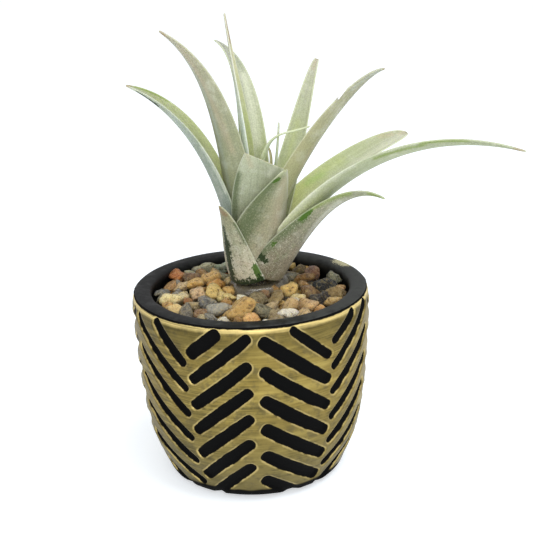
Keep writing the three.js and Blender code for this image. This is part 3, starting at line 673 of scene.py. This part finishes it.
# The leaves. Stiff channelled blades of an air plant, each rolled round the next at its foot and
# bent outwards higher up. Their skin is green under a coat of silver-grey scales, which is rubbed
# off in places. The three front ones are old leaves that were cut back to stubs.
# Heading is the bearing that a leaf grows towards, 0 at the front and 90 at the right. Lean turns
# the blade about the upright, and twist turns it about its length by its tip, in degrees. Root is
# how far out and how high the midrib begins. Bow, crook and tip are its other control points, as
# steps out, up and aside from there. Width is half the flattened width, fold half the channel's
# angle and rib half the thickness, each from root to tip. Speckle is how grained the skin is.
# A mark is a streak: its kind, the place along (0 to 1) and across (-1 to 1) of one end and of
# the other, and half its width in mm.
LEAVES = [
    dict(
        name="stub_front_left", heading=-53, lean=-2, twist=1,
        root=[9.2, 67.3], bow=[3.9, 10.4, 0], crook=[2.9, 22.5, 0.8], tip=[9.4, 30.2, 5.9],
        width=[11.8, 11.2, 7, 5.2, 0.8], fold=[74, 71, 50], rib=[0.6, 0.4], speckle=[1.0, 0.8, 0.3],
        outer=["#CEC5AD", "#A3A188", "#7E7F5B"], inner=["#7F9070", "#8E9C78", "#A3A586"],
        outer_marks=[
            ("bare", 0.68, -0.1, 0.5, 0.0, 1.0), ("bare", 0.5, 0.02, 0.04, 0.02, 2.0),
            ("bare", 0.0, -0.4, 0.0, 0.9, 3.2), ("fresh", 0.2, 0.92, 0.02, 0.82, 1.8),
            ("pink", 0.28, 0.4, 0.25, 0.8, 1.6), ("tan", 0.97, -0.4, 0.9, 0.4, 2),
            ("shade", 0.75, 0.9, 0.5, 0.95, 1.4),
        ],
    ),
    dict(
        name="leaf_right_low", heading=70, lean=-2, twist=-22,
        root=[8.6, 67.5], bow=[4.4, 7.4, 0], crook=[19.6, 37.8, 0.7], tip=[37.2, 30.9, 0],
        width=[15, 18.8, 3.2, 5, 0.35], fold=[95, 79, 67], rib=[0.6, 0.35], speckle=[1.0, 0.7, 0.1],
        outer=["#796F58", "#8B8973", "#8F957A"], inner=["#8FA070", "#7E955A", "#6F8E46"],
        outer_marks=[
            ("fresh", 0.54, -0.9, 0.49, -0.86, 1.5), ("olive", 0.5, -0.98, 0.78, -0.9, 1.8),
            ("fresh", 0.3, -0.86, 0.28, -0.86, 0.9), ("bare", 0.185, -0.92, 0.165, -0.74, 1.4),
            ("shade", 0.1, -0.98, 0.5, -0.85, 3.4), ("pale", 0.38, -0.1, 0.7, -0.3, 1.8),
            ("olive", 0.9, -0.8, 1.0, 0, 1.4), ("pink", 0.12, -0.2, 0.3, -0.2, 4),
        ],
        inner_marks=[("bare", 0.7, -0.8, 0.96, -0.6, 1.2)],
    ),
    dict(
        name="stub_front_right", heading=30, lean=4, twist=9,
        root=[8, 69], bow=[-0.4, 18.1, 0], crook=[8.6, 34.2, 0], tip=[13.5, 41, -0.5],
        width=[13, 18.9, 10.6, 5.3, 1], fold=[88, 49, 33], rib=[0.5, 0.35], speckle=[0.7, 0.3, 0.0],
        outer=["#9B947A", "#999678", "#9DA07E"], inner=["#A9B287", "#B4BD92", "#BCC49B"],
        outer_marks=[
            ("fresh", 0.885, -0.6, 0.85, -0.74, 1.1), ("shade", 0.84, -0.95, 0.52, -0.8, 6),
            ("shade", 0.52, -0.75, 0.3, -0.85, 7), ("shade", 0.45, -0.65, 0.1, -0.8, 6),
            ("pale", 0.2, 0.8, 0.95, 0.9, 2.2), ("pink", 0.4, 0.1, 0.85, 0.2, 4),
        ],
    ),
    dict(
        name="leaf_left_low", heading=-100, lean=12, twist=-12,
        root=[7.6, 67.6], bow=[2, 38.5, 0], crook=[17.9, 59.8, 0], tip=[34.9, 67.1, 0.9],
        width=[8, 10.6, 8.1, 6, 0.35], fold=[70, 54, 67], rib=[0.6, 0.35], speckle=[0.3, 0.1, 0.0],
        # The inner root is near white: painted light in the channel, which the leaves beside it shade.
        outer=["#6F7A70", "#8B9586", "#9FA591"], inner=["#FFFFE0", "#BABF98", "#8A9070"],
        outer_marks=[
            ("bare", 0.78, 0.6, 0.92, 0.45, 0.8), ("tan", 0.98, -0.6, 0.99, 0.6, 2),
            ("blue", 0.7, 0.75, 0.55, 0.6, 3.0), ("pale", 0.3, 0.9, 0.5, 0.95, 1),
            ("blue", 0.3, -0.05, 0.12, 0.1, 2.4),
        ],
        inner_marks=[
            ("tan", 0.98, -0.6, 0.99, 0.6, 2), ("olive", 0.75, -0.95, 0.95, -0.8, 0.8),
        ],
    ),
    dict(
        name="stub_front", heading=15, lean=-2, twist=-3,
        root=[6.2, 71], bow=[1.4, 24, 0], crook=[8, 42, -0.5], tip=[10.4, 47, 0.1],
        width=[9.7, 13.2, 11.6, 6.6, 5], fold=[80, 47, 36], rib=[0.5, 0.35], speckle=[0.3, 0.1, 0.0],
        outer=["#72765D", "#9CA187", "#AEB298"], inner=["#AEB88A", "#B9C193", "#C0C69B"],
        outer_marks=[
            ("tan", 0.645, -0.6, 0.645, -0.55, 0.5), ("shade", 0.6, -0.9, 0.3, -0.85, 2.4),
            ("pink", 0.8, -0.8, 0.7, -0.5, 1.8), ("pale", 0.62, 0.2, 0.7, 0.6, 2),
        ],
    ),
    dict(
        name="leaf_right_long", heading=84, lean=-8, twist=-18,
        root=[7, 68.5], bow=[4.6, 19, 0], crook=[35.6, 55.4, 0.8], tip=[83.8, 43.3, -2.2],
        width=[9.4, 12.5, 6.3, 6.6, 0.35], fold=[84, 58, 60], rib=[0.55, 0.35], speckle=[0.4, 0.1, 0.0],
        # The outer root is light: painted light where the leaves round its foot shade it.
        outer=["#E4E6BC", "#A0A687", "#949A7F"], inner=["#9FAE74", "#A9B880", "#9DB06C"],
        outer_marks=[
            ("olive", 0.74, -0.9, 0.86, -0.84, 0.9), ("tan", 0.985, -0.6, 0.985, 0.6, 2.4),
            ("pale", 0.3, -0.95, 0.55, -0.95, 1.2), ("olive", 0.6, -0.8, 0.75, -0.7, 0.9),
            ("yellow", 0.2, -0.7, 0.4, -0.6, 2.4),
        ],
        inner_marks=[("tan", 0.985, -0.6, 0.985, 0.6, 2.4)],
    ),
    dict(
        name="leaf_left_tall", heading=-85, lean=22, twist=13,
        root=[5.2, 72], bow=[5.4, 28, 0], crook=[2.6, 65.5, 0], tip=[24, 81.9, 0],
        width=[9.5, 12.4, 9.1, 5.2, 0.35], fold=[88, 60, 51], rib=[0.5, 0.35], speckle=[0.2, 0.0, 0.0],
        outer=["#A5A983", "#8C8F72", "#A19C88"], inner=["#AEB98A", "#B9C394", "#B9BE98"],
        outer_marks=[
            ("pink", 0.45, 0.55, 0.62, 0.3, 2.4), ("pink", 0.62, 0.3, 0.9, 0.15, 2),
            ("tan", 0.97, -0.3, 1.0, 0.3, 1.4), ("blue", 0.25, 0.1, 0.92, -0.1, 2.2),
        ],
    ),
    dict(
        name="leaf_right_blunt", heading=118, lean=3, twist=23,
        root=[6, 70], bow=[2.3, 24, 0], crook=[48.8, 39.6, -1.5], tip=[56.2, 39.9, -0.8],
        width=[9.4, 8.3, 6.5, 7, 0.6], fold=[86, 58, 33], rib=[0.5, 0.35], speckle=[0.2, 0.0, 0.0],
        # The inner root is light: painted light in the shade between the leaves beside it.
        outer=["#AAB38D", "#B1B996", "#B9BEA3"], inner=["#E2DFA0", "#A9B08C", "#A0A08E"],
        inner_marks=[
            ("green", 0.4, 0.7, 0.46, 0.55, 2.6), ("pink", 0.78, 0.75, 0.86, 0.5, 1.8),
            ("pink", 0.9, 0.2, 0.98, 0.3, 2.2), ("pale", 0.45, -0.3, 0.9, -0.5, 5),
            ("yellow", 0.2, 0.7, 0.55, 0.6, 4), ("tan", 0.75, 0.62, 0.75, 0.6, 0.6),
            ("olive", 0.985, -0.4, 0.985, 0.5, 0.7),
        ],
    ),
    dict(
        name="leaf_right_high", heading=92, lean=-19, twist=-12,
        root=[5, 73], bow=[-0.8, 21.5, 0], crook=[29.8, 63.7, 0], tip=[39.8, 65.3, 0.2],
        width=[8, 9.8, 8.1, 4.9, 0.35], fold=[88, 64, 49], rib=[0.5, 0.35], speckle=[0.2, 0.0, 0.0],
        outer=["#B6B888", "#9A9874", "#98978A"], inner=["#AAB783", "#B4C08E", "#B5BE97"],
        outer_marks=[
            ("pink", 0.4, -0.2, 0.5, -0.25, 1.6), ("pale", 0.2, 0.2, 0.65, 0.05, 4),
            ("tan", 0.98, -0.3, 1.0, 0.3, 1.2), ("blue", 0.75, -0.7, 0.95, -0.4, 0.9),
        ],
    ),
    dict(
        name="leaf_back_right", heading=148, lean=20, twist=8,
        root=[4.2, 75], bow=[5.5, 12, -4.5], crook=[28, 58, -3.6], tip=[35, 62, -3.3],
        width=[7, 7.7, 3.9, 2.5, 0.8], fold=[86, 58, 46], rib=[0.45, 0.35], speckle=[0.2, 0.0, 0.0],
        # The inner root is light: painted light where the leaves round it shade it.
        outer=["#AAB38D", "#AFB894", "#B9BFA0"], inner=["#CDD2A4", "#ADB296", "#A6A498"],
        inner_marks=[
            ("pink", 0.88, 0.0, 0.96, 0.0, 1.6), ("tan", 0.99, -0.3, 1.0, 0.3, 1.2),
            ("yellow", 0.3, 0.2, 0.6, 0.2, 3),
        ],
    ),
    dict(
        name="leaf_back", heading=-150, lean=9, twist=7,
        root=[4, 76], bow=[0.8, 33.6, 0], crook=[0.7, 65.7, -3.4], tip=[23, 70, -1.7],
        width=[6.5, 10.2, 7.1, 3.6, 0.35], fold=[86, 60, 51], rib=[0.45, 0.35], speckle=[0.2, 0.0, 0.0],
        outer=["#AAB38D", "#AFB894", "#B3B99C"], inner=["#C0C6A0", "#A5A991", "#9C9E95"],
        inner_marks=[
            ("pale", 0.4, -0.5, 0.7, -0.5, 3.4), ("yellow", 0.3, 0.3, 0.55, 0.3, 2.4),
        ],
    ),
    dict(
        name="leaf_upright", heading=-125, lean=25, twist=-3,
        root=[3.6, 77], bow=[-1.5, 36, 0], crook=[2.5, 54, -0.4], tip=[6, 80.9, 0],
        width=[5.5, 6.8, 5.8, 1.8, 0.35], fold=[80, 64, 30], rib=[0.45, 0.35], speckle=[0.2, 0.0, 0.0],
        # The outer face is pale: painted light on its shaded side.
        outer=["#DEE6DC", "#D0D9D4", "#A8A08A"], inner=["#B2BA80", "#A7B07C", "#C4BAA6"],
        inner_marks=[
            ("tan", 0.88, 0.0, 1.0, 0.0, 2), ("olive", 0.36, 0.25, 0.85, 0.25, 0.9),
        ],
    ),
    dict(
        name="leaf_needle", heading=92, lean=60, twist=0,
        root=[2.2, 84.5], bow=[4.8, 14, 0], crook=[6, 26, 0], tip=[6.8, 37.2, 0],
        width=[1.4, 0.9, 0.5, 0.4, 0.34], fold=[50, 50, 30], rib=[0.4, 0.33],
        outer=["#8E9E72", "#93A47A", "#B4B8A8"],
    ),
    dict(
        name="leaf_young_inner", heading=110, lean=-20, twist=0,
        root=[1.6, 84.5], bow=[3.2, 9.9, 0], crook=[7, 23.5, 0], tip=[3.6, 28.6, -1],
        width=[2.6, 2.6, 2.4, 1.8, 0.6], fold=[70, 60, 50], rib=[0.4, 0.33],
        outer=["#A9B47C", "#A9A66E", "#9A8F5C"], inner=["#B3BD84", "#B7BC86", "#9A8F5C"],
    ),
    dict(
        name="leaf_young", heading=60, lean=0, twist=0,
        root=[1.2, 84.5], bow=[2.8, 38.7, 0], crook=[4.3, 31.5, 2.2], tip=[15.7, 35.6, 9.6],
        width=[2.6, 2.8, 0.3, 0.36, 0.34], fold=[75, 60, 40], rib=[0.4, 0.33],
        outer=["#ABB582", "#B4BD9C", "#B9C19C"],
    ),
]
YOUNG = {"leaf_needle", "leaf_young_inner", "leaf_young"}
LEAF_GRID = (18, 66)
YOUNG_GRID = (6, 40)
# Half the thickness at a leaf's edge.
LEAF_EDGE = 0.2
# The flat cut across the front stub: a point in it, and how far it faces right and back.
STUB_CUT = Vector((6.8, -2, 110.4))
STUB_CUT_RIGHT = math.radians(25)
STUB_CUT_BACK = math.radians(13)
# The torn strip: the places along and across the leaf where it comes loose and bends away, the
# place whose skin it shows, and the leaf's length in mm, near enough for its marks.
SLIVER_ALONG = np.array([0.68, 0.73])
SLIVER_ACROSS = np.array([-0.92, -1.0])
SLIVER_SKIN = (0.75, -0.9)
SLIVER_LEAF_LENGTH = 90
SLIVER_TIP = np.array([36.4, 4.6, 135.4])
SLIVER_WIDTH = 1.1
SLIVER_FLATNESS = 0.4
# The marks' colours, how far each covers the skin and how softly it ends: tones of the skin under
# its grain, painted shade and a painted bluish reflection, and places where the scales are rubbed off.
TONES = {
    "shade": ("#56633F", 0.9, 0.9), "blue": ("#A6B2A8", 0.5, 1.2), "yellow": ("#B4BB72", 0.35, 1.2),
    "pale": ("#D2D3C4", 0.5, 1.0), "olive": ("#788845", 0.8, 0.8), "pink": ("#B3A086", 0.4, 1.2),
    "tan": ("#8A7556", 0.9, 0.7), "green": ("#8FAE62", 0.6, 1.4),
}
RUBBED = {"fresh": ("#3C5C0E", 0.95, 0.35), "bare": ("#1A2C04", 0.97, 0.35)}
# How deep in a mark a point counts that has none near it.
UNMARKED = -3.0


def bearing(azimuth):
    """The level direction at an azimuth, 0 at the front and 90 at the right."""
    return np.array([math.sin(math.radians(azimuth)), -math.cos(math.radians(azimuth)), 0.0])


def pulled_curve(controls, t):
    """A smooth curve from the first of the control numbers or points to the last, which the ones
    between them pull towards themselves, at each of the places t."""
    row = [np.multiply.outer(np.ones(len(t)), np.asarray(control, float)) for control in controls]
    t = t.reshape([-1] + [1] * (row[0].ndim - 1))
    while len(row) > 1:
        row = [a * (1 - t) + b * t for a, b in zip(row, row[1:])]
    return row[0]


def midrib(leaf):
    """The control points of a leaf's midrib, in mm."""
    out, side = bearing(leaf["heading"]), bearing(leaf["heading"] + 90)
    root = np.array([*leaf["root"], 0.0])
    steps = [root] + [root + leaf[name] for name in ("bow", "crook", "tip")]
    return [PLANT + out * step[0] + side * step[2] + np.array([0, 0, step[1]]) for step in steps]


def blade_points(leaf, t, v):
    """The middle of the blade at places t along and v across it, in mm."""
    controls = midrib(leaf)
    along = unit(pulled_curve([b - a for a, b in zip(controls, controls[1:])], t))
    level = bearing(leaf["heading"] + 90 + leaf["lean"])
    across = unit(level - along * (along @ level)[:, None])
    inward = np.cross(along, across)
    turn = np.radians(leaf["twist"] * t)[:, None]
    crosswise = across * np.cos(turn) + inward * np.sin(turn)
    inner = inward * np.cos(turn) - across * np.sin(turn)
    half_fold = np.radians(pulled_curve(leaf["fold"], t))
    radius = pulled_curve(leaf["width"], t) / half_fold
    aside = (radius * np.sin(v * half_fold))[:, None]
    inset = (radius * (1 - np.cos(v * half_fold)))[:, None]
    return pulled_curve(controls, t) + crosswise * aside + inner * inset


def gradient(colours, t):
    """A colour from root, middle and tip colours at each place along a leaf."""
    stops = np.array([linear(colour) for colour in colours])
    return np.stack([np.interp(t, [0, 0.5, 1], stops[:, k]) for k in range(4)], 1)


def mark_depth(marks, half_width, t, v, length):
    """How deep each point lies in the nearest of the marks: 1 in its middle, 0 at its edge."""
    depth = np.full(t.shape, UNMARKED)
    for _, start, start_across, end, end_across, reach in marks:
        ahead, aside = (end - start) * length, (end_across - start_across) * half_width
        far_on, far_off = (t - start) * length, (v - start_across) * half_width
        span = np.maximum(ahead**2 + aside**2, 1e-6)
        share = np.clip((far_on * ahead + far_off * aside) / span, 0, 1)
        far = np.hypot(far_on - share * ahead, far_off - share * aside)
        depth = np.maximum(depth, 1 - far / reach)
    return depth


def paint_skin(piece, leaf, t, v, length):
    """Keeps the tints, the marks and the wear of each point of a leaf for its skin. A young leaf
    has no marks and no grain, and its inner face may have the outer one's tints."""
    half_width = pulled_curve(leaf["width"], t)
    for face in ("outer", "inner"):
        paint(piece, face + "_tint", gradient(leaf.get(face, leaf["outer"]), t))
        for kind in [*TONES, *RUBBED]:
            marks = [mark for mark in leaf.get(face + "_marks", []) if mark[0] == kind]
            paint(piece, f"{kind}_{face}", mark_depth(marks, half_width, t, v, length))
    paint(piece, "speckle", np.interp(t, [0, 0.4, 1], leaf.get("speckle", [0, 0, 0])))
    paint(piece, "from_edge", (1 - np.abs(v)) * half_width)


def leaf_mesh(leaf, skins):
    """A leaf: a grid bent to its blade, given a thickness that thins to the edge, and smoothed."""
    grid = YOUNG_GRID if leaf["name"] in YOUNG else LEAF_GRID
    piece, flat = new_grid("scaly_" + leaf["name"], *grid)
    v, t = flat[:, 0], (flat[:, 1] + 1) / 2
    place_points(piece, blade_points(leaf, t, v))
    line = pulled_curve(midrib(leaf), np.linspace(0, 1, 40))
    length = np.linalg.norm(np.diff(line, axis=0), axis=1).sum()
    paint_skin(piece, leaf, t, v, length)
    thickness = LEAF_EDGE + (pulled_curve(leaf["rib"], t) - LEAF_EDGE) * (1 - v**2)
    group = piece.vertex_groups.new(name="thickness")
    for index, value in enumerate(thickness / leaf["rib"][0]):
        group.add([index], float(value), "REPLACE")
    for skin in skins:
        piece.data.materials.append(skin)
    shell = piece.modifiers.new("shell", "SOLIDIFY")
    shell.thickness = 2 * leaf["rib"][0] * MM
    shell.offset = 0
    shell.vertex_group = "thickness"
    shell.use_even_offset = True
    shell.material_offset = 1
    smooth = piece.modifiers.new("smooth", "SUBSURF")
    smooth.levels = smooth.render_levels = 1
    select_all_in(piece)
    bpy.ops.object.modifier_apply(modifier="shell")
    bpy.ops.object.modifier_apply(modifier="smooth")
    bpy.ops.object.shade_smooth()
    piece.vertex_groups.clear()
    return piece


def torn_sliver(leaf):
    """A thin strip of the leaf's upper edge that has torn loose and stands off it."""
    piece, flat = new_grid("torn_sliver", 12, 24)
    angle, share = flat[:, 0] * math.pi, (flat[:, 1] + 1) / 2
    line = pulled_curve([*blade_points(leaf, SLIVER_ALONG, SLIVER_ACROSS), SLIVER_TIP], share)
    half = (SLIVER_WIDTH / 2 * (1 - share) ** 0.7 * np.clip(share * 6, 0, 1))[:, None]
    flatways, upright = unit(np.array([[0.3, 1.0, 0.0], [-0.8, 0.3, 0.6]]))
    rim = np.outer(np.cos(angle), upright) + SLIVER_FLATNESS * np.outer(np.sin(angle), flatways)
    place_points(piece, line + half * rim)
    skin_along, skin_across = (np.full(len(share), place) for place in SLIVER_SKIN)
    paint_skin(piece, leaf, skin_along, skin_across, SLIVER_LEAF_LENGTH)
    closed(piece)
    return piece


def mark_layers(add, kinds, face, stray):
    """For each kind of mark, its mask, whose edges a noise makes stray, its colour and its blend."""
    layers = []
    for kind, (colour, strength, soft) in kinds.items():
        depth = add("Attribute", (), {"attribute_name": f"{kind}_{face}"}, "Fac")
        edge = add("Math", (depth, stray), PLUS)
        mask = add("MapRange", (edge, 0.05, 0.05 + soft, 0, strength), SMOOTH)
        layers.append((mask, colour, COLOUR))
    return layers


def leaf_skin(face):
    """Leaf skin under silver scales: velvety, finely lined lengthwise, green where it is rubbed."""
    clear, reach = (0.55, 2.0 * MM) if face == "inner" else (0.4, 1.5 * MM)
    material, add, finish = new_material("scaly_leaf_" + face, {
        "Specular IOR Level": 0.25, "Sheen Weight": 0.08, "Sheen Roughness": 0.5,
        "Subsurface Weight": clear, "Subsurface Scale": reach, "Subsurface Radius": (0.9, 1.0, 0.6),
    })
    place = add("TexCoord", output="Object")
    sheet = add("TexCoord", output="UV")
    colour = add("Attribute", (), {"attribute_name": face + "_tint"}, "Color")
    speckle = add("Attribute", (), {"attribute_name": "speckle"}, "Fac")
    from_edge = add("Attribute", (), {"attribute_name": "from_edge"}, "Fac")
    # About 40 fine veins run the leaf's length. The scales are a felt of 0.1 mm discs, drawn as
    # 0.4 mm grains so that they show.
    veins = add("Mapping", {"Vector": sheet, "Scale": (38, 2.2, 1)})
    vein = add("TexNoise", {"Vector": veins, "Scale": 1, "Detail": 3, "Roughness": 0.5})
    felt, thinning, cloud, flecks = (
        add("TexNoise", {"Vector": place, "Scale": scale * PER_MM, "Detail": detail, "Roughness": rough})
        for scale, detail, rough in ((2.4, 3, 0.7), (0.45, 5, 0.7), (0.2, 4, 0.6), (1.3, 4, 0.75))
    )
    lines = add("MapRange", (vein, 0.3, 0.7, 0.88, 1.1))
    # The green shows through where the scales are thin, and they are whitest in loose clouds.
    scant = add("MapRange", (thinning, 0.52, 0.34, 0.0, 0.45), SMOOTH)
    worn = add("Math", (speckle, 0.7, 0.3), TIMES_PLUS)
    green = add("Math", (scant, worn), TIMES)
    silver = add("MapRange", (cloud, 0.48, 0.72, 0.0, 0.3), SMOOTH)
    # Noise that makes the marks' edges stray: a little for tones, more for rubbed places.
    strayed = add("Math", (vein, 0.7, flecks), TIMES_PLUS)
    drift = add("MapRange", (strayed, 0.6, 1.1, -0.25, 0.25))
    ragged = add("MapRange", (strayed, 0.6, 1.1, -0.6, 0.6))
    # Old sheaths are grained with whitish scales, and specked with brown.
    grain = add("MapRange", (felt, 0.52, 0.68, 0.0, 0.5), SMOOTH)
    grained = add("Math", (grain, speckle), TIMES)
    fleck = add("MapRange", (flecks, 0.53, 0.64, 0.0, 0.8), SMOOTH)
    aged = add("Math", (fleck, speckle), TIMES)
    dusted = add("MapRange", (felt, 0.32, 0.68, 0.8, 1.18))
    # The leaf's edge is a thin pale line of bare, colourless tissue.
    hem = add("MapRange", (from_edge, 0.2, 0.5, 0.3, 0), SMOOTH)
    for mask, over, blend in (
        (1.0, lines, TINTED), (green, "#76855A", COLOUR), (silver, "#C6C8B9", COLOUR),
        *mark_layers(add, TONES, face, drift), (grained, "#D5CFBF", COLOUR), (aged, "#585040", COLOUR),
        *mark_layers(add, RUBBED, face, ragged), (1.0, dusted, TINTED), (hem, "#D3D6C2", COLOUR),
    ):
        colour = add("Mix", {FACTOR: mask, UNDER: colour, OVER: over}, blend, MIXED)
    rough = add("MapRange", (felt, 0.3, 0.7, 0.55, 0.75))
    relief = add("Math", (felt, 0.5, vein), TIMES_PLUS)
    bump = add("Bump", {"Strength": 0.5, "Distance": 0.14 * MM, "Height": relief})
    finish({"Base Color": colour, "Roughness": rough, "Normal": bump})
    return material


def cut_tissue():
    """The flat cut across a leaf: pale, dried leaf tissue, browned here and there."""
    material, add, finish = new_material("dried_leaf_cut", {"Roughness": 0.85})
    place = add("TexCoord", output="Object")
    browned = add("TexNoise", {"Vector": place, "Scale": 0.8 * PER_MM, "Detail": 3})
    colour = add("Mix", {FACTOR: browned, UNDER: "#D9CFB4", OVER: "#B79A78"}, COLOUR, MIXED)
    bump = add("Bump", {"Strength": 0.4, "Distance": 0.15 * MM, "Height": browned})
    finish({"Base Color": colour, "Normal": bump})
    return material


def cut_square(stub):
    """Cuts a stub's end off flat, and gives the cut a material of its own."""
    tip_back = Matrix.Rotation(-STUB_CUT_BACK, 3, "X")
    normal = Matrix.Rotation(STUB_CUT_RIGHT, 3, "Y") @ tip_back @ Vector((0, 0, 1))
    select_all_in(stub)
    bpy.ops.object.mode_set(mode="EDIT")
    bpy.ops.mesh.select_all(action="SELECT")
    bpy.ops.mesh.bisect(plane_co=STUB_CUT * MM, plane_no=normal, use_fill=True, clear_outer=True)
    bpy.ops.object.mode_set(mode="OBJECT")
    stub.data.materials.append(cut_tissue())
    for face in stub.data.polygons:
        if abs((face.center - STUB_CUT * MM).dot(normal)) < 0.01 * MM:
            face.material_index = len(stub.data.materials) - 1


skins = [leaf_skin("outer"), leaf_skin("inner")]
for leaf in LEAVES:
    blade = leaf_mesh(leaf, skins)
    if leaf["name"] == "leaf_right_high":
        torn_sliver(leaf).select_set(True)
        blade.select_set(True)
        bpy.context.view_layer.objects.active = blade
        bpy.ops.object.join()
    if leaf["name"] == "stub_front":
        cut_square(blade)
    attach(blade, "root")
    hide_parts(leaf["name"])

# The room, which isn't part of the object: a white table under soft studio light, and the camera
# where the photograph was taken from.
AIM = Vector((5.78, 0, 72.96)) * MM
CAMERA_DISTANCE = 450 * MM
CAMERA_ELEVATION = math.radians(18.89)
CAMERA_ROLL = math.radians(-1.92)
CAMERA_LENS = 88.75
CAMERA_FILM = 36
FLOOR_SIZE = 12
WHITE = (1, 1, 1, 1)
# Each lamp's name, side, power and place, in metres and watts.
LAMPS = [("key", 0.6, 6.0, (0.35, -0.3, 1.05)), ("front", 0.7, 5.0, (0.02, -0.9, 0.46))]

bpy.context.scene.view_settings.view_transform = "Standard"
bpy.ops.object.select_all(action="DESELECT")
bpy.ops.mesh.primitive_plane_add(size=FLOOR_SIZE, location=(0, 0, 0))
floor = bpy.context.object
floor.name = "floor"
floor_paint, _, _ = new_material("lit_white_acrylic", {
    "Base Color": (0.72, 0.78, 0.84, 1), "Roughness": 0.9,
    "Emission Color": WHITE, "Emission Strength": 0.48,
})
floor.data.materials.append(floor_paint)

world = bpy.data.worlds.new("studio")
world.use_nodes = True
join(world.node_tree, world.node_tree.nodes["Background"], {"Color": WHITE, "Strength": 0.64})
bpy.context.scene.world = world
for name, size, power, place in LAMPS:
    bpy.ops.object.light_add(type="AREA", location=place)
    lamp = bpy.context.object
    lamp.name = name
    lamp.data.size = size
    lamp.data.energy = power
    lamp.rotation_euler = (Vector(place) - AIM).to_track_quat("Z", "Y").to_euler()

back = Vector((0, -math.cos(CAMERA_ELEVATION), math.sin(CAMERA_ELEVATION)))
turn = back.to_track_quat("Z", "Y").to_matrix().to_4x4() @ Matrix.Rotation(CAMERA_ROLL, 4, "Z")
camera = bpy.data.objects.new("camera", bpy.data.cameras.new("camera"))
camera.data.lens = CAMERA_LENS
camera.data.sensor_width = CAMERA_FILM
camera.data.clip_start = 0.01
camera.matrix_world = Matrix.Translation(AIM + back * CAMERA_DISTANCE) @ turn
bpy.context.scene.collection.objects.link(camera)
bpy.context.scene.camera = camera
